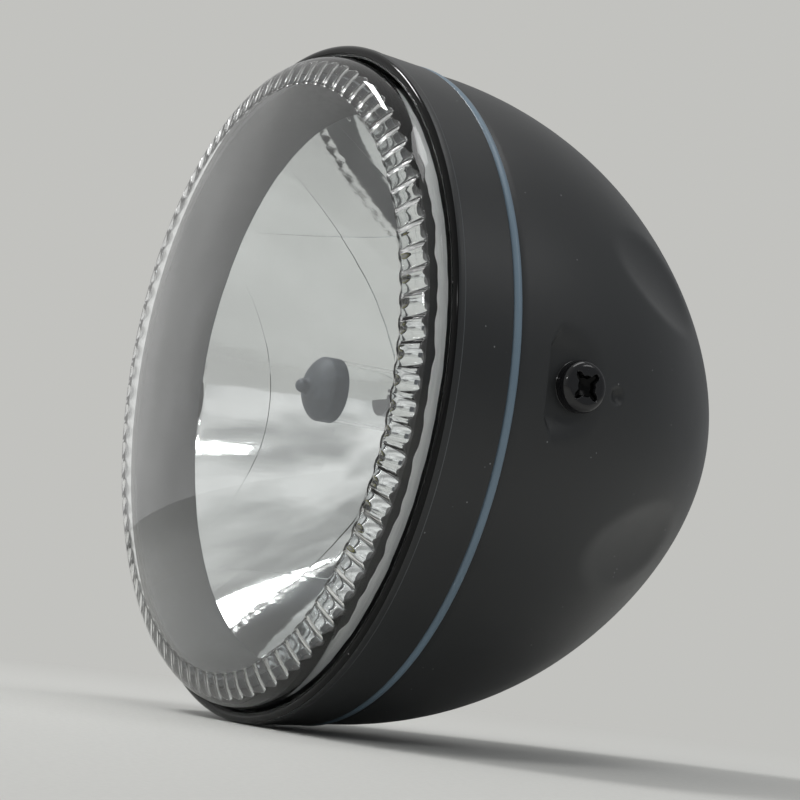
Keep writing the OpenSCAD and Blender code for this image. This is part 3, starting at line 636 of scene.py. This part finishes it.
class HEADLIGHT_OT_lens(bpy.types.Operator):
    """Domed lens with its ring of flutes moulded inside"""
    bl_idname = "headlight.lens"
    bl_label = "Lens"

    def execute(self, context):
        size = optics_sizes()
        at = lens_sizes(size)
        columns = size.flutes * 16
        fine = np.arange(columns) * 360 / columns
        tangent = math.degrees(math.atan2(at["corner"][1] - at["dome_s"], at["corner"][0]))
        dome = arc((0, at["dome_s"]), size.dome, -90, tangent, 40)
        corner = arc(at["corner"], size.corner, tangent, 0, 20)[1:]
        foot_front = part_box("lens_glass")[1].y - LIP_Y - 3.2 * MM
        skirt = np.array([[at["skirt"], foot_front - 0.2 * MM], [at["skirt"] + 0.2 * MM, foot_front],
                          [FOOT_RADIUS - 0.3 * MM, foot_front], [FOOT_RADIUS, foot_front + 0.3 * MM],
                          [FOOT_RADIUS, LENS_BACK - 0.3 * MM], [FOOT_RADIUS - 0.3 * MM, LENS_BACK],
                          [at["wall"] + 0.3 * MM, LENS_BACK]])
        outside = np.concatenate([dome, corner, skirt])
        shell = Shell()
        quarter = columns // 4
        coarse = np.arange(quarter) * 360 / quarter
        shell.grid(turned(outside, coarse))
        inner_turn = math.degrees(math.atan2(at["dome_end"][1] - at["dome_s"], at["start"][0] - 0.8 * MM))
        inner_dome = arc((0, at["dome_s"]), at["inner"], -90, inner_turn, 30)
        shell.grid(turned(inner_dome, coarse))
        rows = self.flute_rows(size, at, fine)
        shell.grid(rows)
        self.join(shell, turned(inner_dome[-1:], coarse)[0], rows[0])
        self.join(shell, turned(outside[-1:], coarse)[0], rows[-1])
        glass = clear("Lens glass", (0.985, 0.995, 0.99), 1.5, 0.02 * MM)
        shell.piece("lens_cover", [glass], "clear_glass", ["lens_glass"], 30)
        return {"FINISHED"}

    def join(self, shell, coarse, fine):
        """Joins a coarse ring of points to a fine one with fans."""
        share = len(fine) // len(coarse)
        base = shell.count
        shell.points += [coarse, fine]
        shell.count += len(coarse) + len(fine)
        quads = []
        for i in range(len(coarse)):
            a, b = base + i, base + (i + 1) % len(coarse)
            first = base + len(coarse)
            for k in range(share):
                p, q = first + i * share + k, first + (i * share + k + 1) % len(fine)
                quads.append([a, p, q, a] if k < share // 2 else [b, p, q, b])
            middle = first + i * share + share // 2
            quads.append([a, middle, b, a])
        shell.faces.append(np.array(quads))
        shell.materials.append(np.zeros(len(quads), int))

    def flute_rows(self, size, at, fine):
        """The fluted cone and the wall behind it, as rows of points."""
        slope = size.flute_slope
        along = np.array([math.cos(slope), math.sin(slope)])
        up = np.array([-math.sin(slope), math.cos(slope)])
        pitch = 360 / size.flutes
        off = np.radians((fine + pitch / 2) % pitch - pitch / 2)
        sunk = size.flute_radius - size.flute_height
        low_radius = size.flute_radius - 0.5 * MM

        def height(run, radius):
            across = (at["start"][0] + run * along[0]) * np.sin(np.abs(off))
            return np.maximum(np.sqrt(np.maximum(radius ** 2 - across ** 2, 0)) - sunk, 0)

        flat = 0 * off
        rows = []
        for inside in (0.6 * MM, 0.25 * MM):
            r = at["start"][0] - inside
            rows.append(np.stack([r + flat, at["dome_s"] - math.sqrt(at["inner"] ** 2 - r ** 2) + flat], -1))
        rows.append(at["dome_end"] + np.stack([flat - 0.08 * MM, flat - 0.01 * MM], -1))
        low = height(0.2 * MM, low_radius)
        first = low * math.tan(slope)
        foot = at["start"] + first[:, None] * along + low[:, None] * up
        rows.append(np.stack([at["start"][0] + flat, at["dome_end"][1] - 0.1 * MM + flat], -1))
        rows.append(np.stack([foot[:, 0], np.minimum(foot[:, 1], at["dome_end"][1] - 0.12 * MM)], -1))
        for share in (0.15, 0.5, 1.0):
            run = first + share * (size.flute_step - 0.05 * MM - first)
            h = height(run, low_radius)
            rows.append(at["start"] + run[:, None] * along + h[:, None] * up)
        for extra, share in ((0.0, 0.2), (0.04, 0.65), (0.1, 0.92), (0.2, 1.0), (0.8, 1.0), (1.6, 1.0),
                             (2.6, 1.0), (3.6, 1.0)):
            run = size.flute_step + extra * MM
            low, high = height(run, low_radius), height(run, size.flute_radius)
            rows.append(at["start"] + run * along + (low + (high - low) * share)[:, None] * up)
        h = height(size.flute_run / along[0] + 0.5 * MM, size.flute_radius)
        run = (size.flute_run + h * math.sin(slope)) / along[0]
        for back in (0.5, 0.12):
            rows.append(at["start"] + (run - back * MM)[:, None] * along + h[:, None] * up)
        corner = at["start"] + run[:, None] * along + h[:, None] * up
        rows.append(corner + [0, 0.14 * MM])
        rows.append(corner + [0, 0.6 * MM])
        for s in (2.2 * MM, 4.2 * MM, LENS_BACK - 0.3 * MM):
            rows.append(np.stack([at["wall"] + flat, s + flat], -1))
        rows.append(np.stack([at["wall"] + 0.3 * MM + flat, LENS_BACK + flat], -1))
        return turned(np.stack(rows), fine)


class HEADLIGHT_OT_reflector(bpy.types.Operator):
    """Reflector with its faceted mirror and satin collar"""
    bl_idname = "headlight.reflector"
    bl_label = "Reflector"

    def execute(self, context):
        size = optics_sizes()
        at = lens_sizes(size)
        edge = at["wall"] - size.collar
        hole = 20.5 * MM
        front = size.mirror_front
        shell = Shell()
        last = math.ceil(edge / size.facet - 0.5)

        def depth(x, z, level):
            focal = size.focal * (1 + size.relief * level)
            return front + (edge ** 2 - x ** 2 - z ** 2) / (4 * focal)

        def patch(x, low, high, level, count):
            share = np.linspace(0, 1, count)[:, None]
            z = low + (high - low) * share
            xs = x + 0 * z
            return np.stack([xs, depth(xs, z, level) + LIP_Y, z], -1)

        lines = {}
        for i in range(-last, last + 1):
            x0, x1 = max((i - 0.5) * size.facet, -edge), min((i + 0.5) * size.facet, edge)
            x = np.unique(np.concatenate([np.linspace(x0, x1, 13), np.clip([-hole, hole], x0, x1)]))
            rim = np.sqrt(np.maximum(edge ** 2 - x ** 2, 0))
            bore = np.sqrt(np.maximum(hole ** 2 - x ** 2, 0))
            row = np.minimum(rim, size.facet_row)
            for way in (1, -1):
                middle = patch(x, way * bore, way * row, abs(i) % 2 + 1, 40)
                upper = patch(x, way * row, way * rim, abs(i) % 2, 24)
                shell.grid(middle, closed=False).grid(upper, closed=False)
                shell.grid(np.stack([middle[-1], upper[0]]), closed=False)
                for end, key in ((0, i - 0.5), (-1, i + 0.5)):
                    lines.setdefault((key, way), []).append(np.concatenate([middle[:, end], upper[:, end]]))
        for pair in lines.values():
            if len(pair) == 2:
                shell.grid(np.stack(pair), closed=False)
        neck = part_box("bulb_seat")[0].y - LIP_Y
        sheet, seal_gap, neck_r = 1.6 * MM, 2.1 * MM, 28 * MM
        seat = np.linspace(edge, hole, 26)
        tilt = np.sqrt(1 + (seat / (2 * size.focal)) ** 2)
        behind = np.stack([seat + sheet * seat / (2 * size.focal) / tilt,
                           front + (edge ** 2 - seat ** 2) / (4 * size.focal) + sheet / tilt], -1)
        behind = behind[(behind[:, 0] > neck_r + 0.3 * MM) & (behind[:, 1] > 13 * MM)]
        flange_front, flange_r = LENS_BACK + 0.9 * MM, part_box("reflector")[1].x
        front_r = at["wall"] - seal_gap - sheet
        collar = np.array([[front_r + 0.25 * MM, COLLAR_FRONT], [front_r, COLLAR_FRONT + 0.25 * MM]])
        slope = line(collar[-1], (edge, front), 8)[1:]
        outer = np.array([[front_r + sheet, flange_front], [front_r + sheet, COLLAR_FRONT + 0.2 * MM],
                          [front_r + sheet - 0.2 * MM, COLLAR_FRONT]])
        flange = np.array([[flange_r, flange_front + 1.5 * MM], [flange_r, flange_front]])
        shell_back = np.array([[hole, neck - 6 * MM], [hole, neck], [neck_r, neck], [neck_r, behind[-1, 1]]])
        section = np.concatenate([slope[::-1], collar[::-1], outer[::-1], flange[::-1], behind, shell_back[::-1]])
        shell.grid(turned(section, 240), material=1)
        shell.grid(self.sealant(size, at["wall"]), ring=True, material=2)
        shell.piece("mirror_bowl", [mirror("Mirror coat", size.mirror_colour, 0.035), self.collar_coat(),
                                    self.sealant_skin()], "mirror_coat", ["reflector"], 12)
        return {"FINISHED"}

    def sealant(self, size, wall):
        """Bead of grey sealant between the reflector's rim and the lens wall, laid a little unevenly."""
        around = np.linspace(0, 2 * np.pi, 720, endpoint=False)
        wave = 0.16 * np.sin(31 * around + 1.3) + 0.12 * np.sin(53 * around + 0.4) + 0.08 * np.sin(97 * around)
        front, back = size.sealant_front + wave * MM, size.sealant_back + 0.3 * wave[::-1] * MM
        radius = wall - np.array([0.03, 0.03, 0.09, 0.09]) * MM
        depth = np.stack([front, back, back, front])
        return turned(np.stack([radius[:, None] + 0 * around, depth], -1), len(around))

    def sealant_skin(self):
        """Light grey sealant, smeared along the rim."""
        paint = Paint("Sealant", (0.9, 0.91, 0.91), 0.32)
        smear = paint.noise(0.5 * MM, 3.0, 0.6, (0.08, 1.0, 0.08))
        paint.use("Base Color", paint.blend(smear, [0.84, 0.85, 0.86], [0.97, 0.98, 0.98], 0.35, 0.65))
        return paint.bump((smear, 0.03 * MM)).material

    def collar_coat(self):
        """Satin grey metal of the collar, with a faint fine grain."""
        return metal("Collar coat", (0.075, 0.08, 0.085), 0.36, size=1.2 * MM, height=0.01 * MM)


class HEADLIGHT_OT_bulb(bpy.types.Operator):
    """Bulb glass and the grey coat over its tip"""
    bl_idname = "headlight.bulb"
    bl_label = "Bulb"

    def execute(self, context):
        size = optics_sizes()
        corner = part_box("bulb_glass")[1]
        radius, back = corner.x, corner.y - LIP_Y
        glass, dome = 0.85 * MM, 10.2 * MM
        coat_lo, coat_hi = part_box("bulb_tip_coat")
        tip = coat_lo.y - LIP_Y
        nipple_r, nipple_len = 1.8 * MM, 3.0 * MM
        dome_front = tip + nipple_len
        middle = dome_front + dome

        def dome_arc(ball, edge_r):
            turn = math.degrees(math.asin(edge_r / ball))
            return arc((0, middle), ball, -90, -90 + turn, 18)

        shoulder = 0.8 * MM
        outside = dome_arc(dome, radius - 0.5 * MM)
        tube = line((radius, outside[-1, 1] + shoulder), (radius, back), 8)
        inside = dome_arc(dome - glass, radius - glass - 0.4 * MM)
        inner_tube = line((radius - glass, inside[-1, 1] + shoulder), (radius - glass, back), 8)
        section = np.concatenate([outside, tube, inner_tube[::-1], inside[::-1]])
        envelope = clear("Bulb glass", (0.98, 0.985, 0.985), 1.48, 0)
        Shell().grid(turned(section, 128)).piece("bulb_envelope", [envelope], "bulb_clear", ["bulb_glass"], 40)
        full = coat_hi.x
        ball = dome + 0.3 * MM
        nose = arc((0, tip + nipple_r), nipple_r, -90, 0, 10)
        foot = arc((nipple_r + 0.7 * MM, dome_front + 0.02 * MM - 0.75 * MM), 0.7 * MM, 180, 100, 6)
        cap_start = math.degrees(math.asin(3.0 * MM / ball)) - 90
        cap_end = math.degrees(math.asin((full - 0.6 * MM) / ball)) - 90
        cap = arc((0, middle), ball, cap_start, cap_end, 18)
        rim = arc((full - 1.4 * MM, cap[-1, 1] + 1.3 * MM), 1.4 * MM, -52, 0, 6)
        end = dome_front + size.coat_length
        skirt = np.array([[full, end - 0.05 * MM], [full - 0.05 * MM, end], [full - 0.2 * MM, end]])
        hollow = dome_arc(dome + 0.04 * MM, radius - 0.4 * MM)[::-1]
        section = np.concatenate([nose, foot, cap, rim, skirt, [[radius + 0.03 * MM, end - 0.1 * MM]], hollow])
        paint = Paint("Bulb tip coat", size.coat_colour, 0.55)
        cloud = paint.noise(3 * MM, 5.0, 0.6)
        paint.use("Base Color", paint.blend(cloud, scaled(size.coat_colour, 0.85), scaled(size.coat_colour, 1.2)))
        paint.bump((paint.noise(0.3 * MM, 3.0), 0.015 * MM))
        Shell().grid(turned(section, 128)).piece("bulb_cap", [paint.material], "tip_coat", ["bulb_tip_coat"], 40)
        return {"FINISHED"}


class HEADLIGHT_OT_inner(bpy.types.Operator):
    """Finishes of the smaller pieces: bulb parts, clips, seat, rubber and nuts"""
    bl_idname = "headlight.inner"
    bl_label = "Inner pieces"

    def execute(self, context):
        zinc = metal("Zinc plate", (0.58, 0.58, 0.56), 0.32)
        spring = metal("Spring steel", (0.48, 0.48, 0.49), 0.28)
        black = rubber("Black rubber", (0.013, 0.013, 0.013), 0.62)
        wire = metal("Wire metal", (0.42, 0.42, 0.44), 0.3, size=0.15 * MM, height=0.003 * MM)
        finishes = {
            "rim_hook": satin_paint("Hook paint", body_sizes().ring_colour, 0.4, 0.14 * MM),
            "rim_screw": gloss_paint("Clamp screw coat", (0.014, 0.014, 0.015), 0.2),
            "rim_nut": zinc, "side_nuts": zinc, "seat_rivets": zinc,
            "insert_clips": spring, "bulb_clip": spring,
            "lens_seal": black, "rubber_boot": black, "cable_grommet": black,
            "bulb_seat": metal("Yellow zinc", (0.62, 0.60, 0.22), 0.3, size=0.8 * MM),
            "bulb_base": metal("Bulb metal", (0.6, 0.59, 0.56), 0.26, size=0.5 * MM),
            "bulb_insulator": rubber("Insulator", (0.02, 0.02, 0.021), 0.5),
            "bulb_contacts": metal("Contact metal", (0.66, 0.63, 0.55), 0.3),
            "bulb_stem": clear("Stem glass", (0.95, 0.97, 0.96), 1.48, 0),
            "bulb_leads": wire, "bulb_filaments": wire, "bulb_shield": wire,
        }
        for name, material in finishes.items():
            mesh = frame["nodes"][name].data
            mesh.materials.clear()
            mesh.materials.append(material)
        return {"FINISHED"}


class HEADLIGHT_OT_stage(bpy.types.Operator):
    """Camera, pale floor and backdrop, and the lamps"""
    bl_idname = "headlight.stage"
    bl_label = "Stage"

    def execute(self, context):
        size = context.scene.headlight_stage
        self.camera(context, size)
        self.world(context, size)
        self.floor(size)
        self.lamp("Window", (-0.46, -0.42, 1.12), (0.34, 0.16), size.window)
        self.lamp("Ceiling", (0.25, 0.1, 1.3), (0.9, 0.35), size.ceiling)
        self.lamp("Pendant", (0.72, -0.84, 0.46), (0.17, 0.065), size.pendant)
        self.lamp("Side window", (0.9, 0.75, 0.95), (0.5, 0.35), size.side)
        context.scene.view_settings.view_transform = "Standard"
        return {"FINISHED"}

    def camera(self, context, size):
        """The camera of the photograph: its place, and the directions to its right, up and back."""
        data = bpy.data.cameras.new("Camera")
        data.lens = size.focal
        data.clip_start, data.clip_end = 0.01, 20
        made = bpy.data.objects.new("Camera", data)
        right, up = Vector((0.4973, 0.8602, 0.1126)), Vector((0.045, -0.1552, 0.9868))
        back, place = Vector((0.8664, -0.4857, -0.116)), Vector((0.4935, -0.2768, -0.0653))
        made.matrix_world = Matrix.Translation(place) @ Matrix((right, up, back)).transposed().to_4x4()
        context.scene.collection.objects.link(made)
        context.scene.camera = made

    def world(self, context, size):
        """Pale behind the lamp, and a soft room light that comes mostly from the lens's side."""
        world = bpy.data.worlds.new("Room")
        world.use_nodes = True
        tree = world.node_tree
        tree.nodes.clear()

        def node(kind, links=None, **settings):
            return add_node(tree, kind, links, **settings)

        def mix(share, first, second):
            return node("ShaderNodeMix", {0: share, 6: first, 7: second}, data_type="RGBA").outputs[2]

        def rise(value, low, high):
            return node("ShaderNodeMapRange", {"Value": value, "From Min": low, "From Max": high,
                                               "To Min": 0.0, "To Max": 1.0}).outputs[0]

        way = node("ShaderNodeTexCoord").outputs["Generated"]
        lens_side = (-0.72, -0.62, 0.3)
        front = node("ShaderNodeVectorMath", {0: way, 1: lens_side}, operation="DOT_PRODUCT").outputs["Value"]
        room = mix(rise(front, -0.35, 0.75), (0.27, 0.28, 0.29, 1), (0.62, 0.62, 0.61, 1))
        rays = node("ShaderNodeLightPath")
        seen = node("ShaderNodeMath", {0: rays.outputs["Is Camera Ray"], 1: rays.outputs["Is Transmission Ray"]},
                    operation="MAXIMUM").outputs[0]
        spots = node("ShaderNodeTexNoise", {"Vector": way, "Scale": 3.2, "Detail": 2.0, "Roughness": 0.55}).outputs[0]
        mirrored = mix(rise(spots, 0.38, 0.62), (0.38, 0.385, 0.38, 1), (0.84, 0.84, 0.83, 1))
        behind = mix(rays.outputs["Is Transmission Ray"], (*size.pale, 1), mirrored)
        colour = mix(seen, room, behind)
        light = node("ShaderNodeBackground", {"Color": colour, "Strength": 1.0}).outputs[0]
        node("ShaderNodeOutputWorld", {"Surface": light})
        context.scene.world = world

    def floor(self, size):
        """Floor under the lamp, fading into the backdrop's colour away from it."""
        level = FRAME_BOUNDS[0].z - 0.05 * MM
        rings = np.array([0.05, 0.1, 0.2, 0.4, 1, 3, 8])[:, None]
        around = np.linspace(0, 2 * np.pi, 64, endpoint=False)
        points = np.stack([rings * np.cos(around), rings * np.sin(around), level + 0 * rings * around], -1)
        index = np.arange(points[..., 0].size).reshape(len(rings), len(around))
        index = np.concatenate([index, index[:, :1]], 1)
        faces = np.stack([index[:-1, :-1], index[:-1, 1:], index[1:, 1:], index[1:, :-1]], -1).reshape(-1, 4).tolist()
        faces.append(index[0, :-1].tolist())
        mesh = bpy.data.meshes.new("Floor")
        mesh.from_pydata(points.reshape(-1, 3).tolist(), [], faces)
        made = bpy.data.objects.new("Floor", mesh)
        bpy.context.scene.collection.objects.link(made)
        paint = Paint("Floor", size.pale, 0.7)
        grain = paint.noise(1.2 * MM, 4.0)
        dark, light = ([min(1, c) for c in scaled(size.pale, factor)] for factor in (1.15, 1.25))
        paint.use("Base Color", paint.blend(grain, dark, light))
        apart = paint.node("ShaderNodeVectorMath", {0: paint.place}, operation="LENGTH").outputs["Value"]
        far = paint.range(apart, 0.14, 0.5, 0.0, 1.0)
        glow = paint.node("ShaderNodeEmission", {"Color": (*size.pale, 1), "Strength": 1.0}).outputs[0]
        rays = paint.node("ShaderNodeLightPath")
        seen = paint.node("ShaderNodeMath", {0: rays.outputs["Is Camera Ray"], 1: rays.outputs["Is Transmission Ray"]},
                          operation="MAXIMUM").outputs[0]
        share = paint.node("ShaderNodeMath", {0: far, 1: seen}, operation="MULTIPLY").outputs[0]
        mesh.materials.append(paint.end_with(share, glow))

    def lamp(self, name, place, extent, power):
        """A soft rectangular lamp that faces the headlight."""
        data = bpy.data.lights.new(name, "AREA")
        data.shape = "RECTANGLE"
        data.size, data.size_y = extent
        data.energy = power
        made = bpy.data.objects.new(name, data)
        made.location = place
        made.rotation_mode = "QUATERNION"
        made.rotation_quaternion = (-Vector(place)).to_track_quat("-Z", "Y")
        bpy.context.scene.collection.objects.link(made)


class HEADLIGHT_PT_panel(bpy.types.Panel):
    """Lists the headlight's pieces in the sidebar"""
    bl_idname = "HEADLIGHT_PT_panel"
    bl_label = "Headlight"
    bl_space_type = "VIEW_3D"
    bl_region_type = "UI"
    bl_category = "Headlight"

    def draw(self, context):
        for group in ("headlight_body", "headlight_optics", "headlight_stage"):
            box = self.layout.box()
            owner = getattr(context.scene, group)
            for name in owner.__annotations__:
                box.prop(owner, name)
        for operator in OPERATORS:
            self.layout.operator(operator.bl_idname)


OPERATORS = (HEADLIGHT_OT_bucket, HEADLIGHT_OT_rings, HEADLIGHT_OT_screws, HEADLIGHT_OT_lens, HEADLIGHT_OT_reflector,
             HEADLIGHT_OT_bulb, HEADLIGHT_OT_inner, HEADLIGHT_OT_stage)
CLASSES = (HEADLIGHT_PG_body, HEADLIGHT_PG_optics, HEADLIGHT_PG_stage, *OPERATORS, HEADLIGHT_PT_panel)


def register():
    """Makes the classes known to Blender and hangs the sizes on the scene."""
    for kind in CLASSES:
        bpy.utils.register_class(kind)
    bpy.types.Scene.headlight_body = PointerProperty(type=HEADLIGHT_PG_body)
    bpy.types.Scene.headlight_optics = PointerProperty(type=HEADLIGHT_PG_optics)
    bpy.types.Scene.headlight_stage = PointerProperty(type=HEADLIGHT_PG_stage)


def unregister():
    """Takes the classes and the sizes away again."""
    del bpy.types.Scene.headlight_stage
    del bpy.types.Scene.headlight_optics
    del bpy.types.Scene.headlight_body
    for kind in reversed(CLASSES):
        bpy.utils.unregister_class(kind)


def main():
    """Builds every piece and the stage."""
    register()
    bpy.ops.headlight.bucket()
    bpy.ops.headlight.rings()
    bpy.ops.headlight.screws()
    bpy.ops.headlight.lens()
    bpy.ops.headlight.reflector()
    bpy.ops.headlight.bulb()
    bpy.ops.headlight.inner()
    bpy.ops.headlight.stage()


if __name__ == "__main__":
    main()
